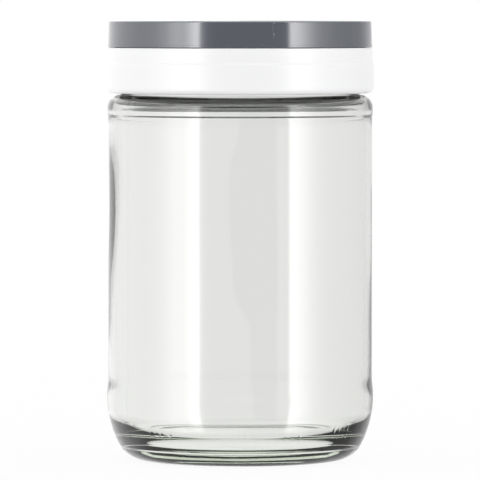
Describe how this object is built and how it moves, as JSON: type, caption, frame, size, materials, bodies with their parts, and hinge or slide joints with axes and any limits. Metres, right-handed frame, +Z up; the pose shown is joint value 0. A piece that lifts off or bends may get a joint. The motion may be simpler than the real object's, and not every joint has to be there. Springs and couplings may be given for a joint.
{
  "type": "sourdough starter jar",
  "caption": "Straight glass storage jar with a rounded heel and a twist-off lid: a white lug ring on a flat seal, and a grey cap that turns on the ring to open or close hidden vents.",
  "frame": {"origin": "centre of the circle that the jar stands on, at the surface", "axes": "+Z up along the jar's axis; -Y is the side that the picture shows, +X to its right"},
  "size_m": [0.089, 0.089, 0.146],
  "materials": {
    "glass": "clear soda-lime glass, faintly green where it is thick",
    "seal_silicone": "matt silicone",
    "ring_plastic": "smooth moulded white",
    "cap_plastic": "smooth moulded grey"
  },
  "bodies": {
    "jar": {"jar": "glass"},
    "seal": {"seal_ring": "seal_silicone"},
    "ring": {"screw_ring": "ring_plastic"},
    "cap": {"top_cap": "cap_plastic"}
  },
  "joints": [
    {"name": "lid_lift", "type": "slide", "parent": "jar", "child": "seal", "axis": [0, 0, 1], "range_m": [0, 0.05]},
    {"name": "lid_turn", "type": "hinge", "parent": "seal", "child": "ring", "pos_m": [0, 0, 0.134], "axis": [0, 0, 1], "range_deg": [-30, 0]},
    {"name": "vent_turn", "type": "hinge", "parent": "ring", "child": "cap", "pos_m": [0, 0, 0.137], "axis": [0, 0, 1], "range_deg": [0, 30]}
  ]
}
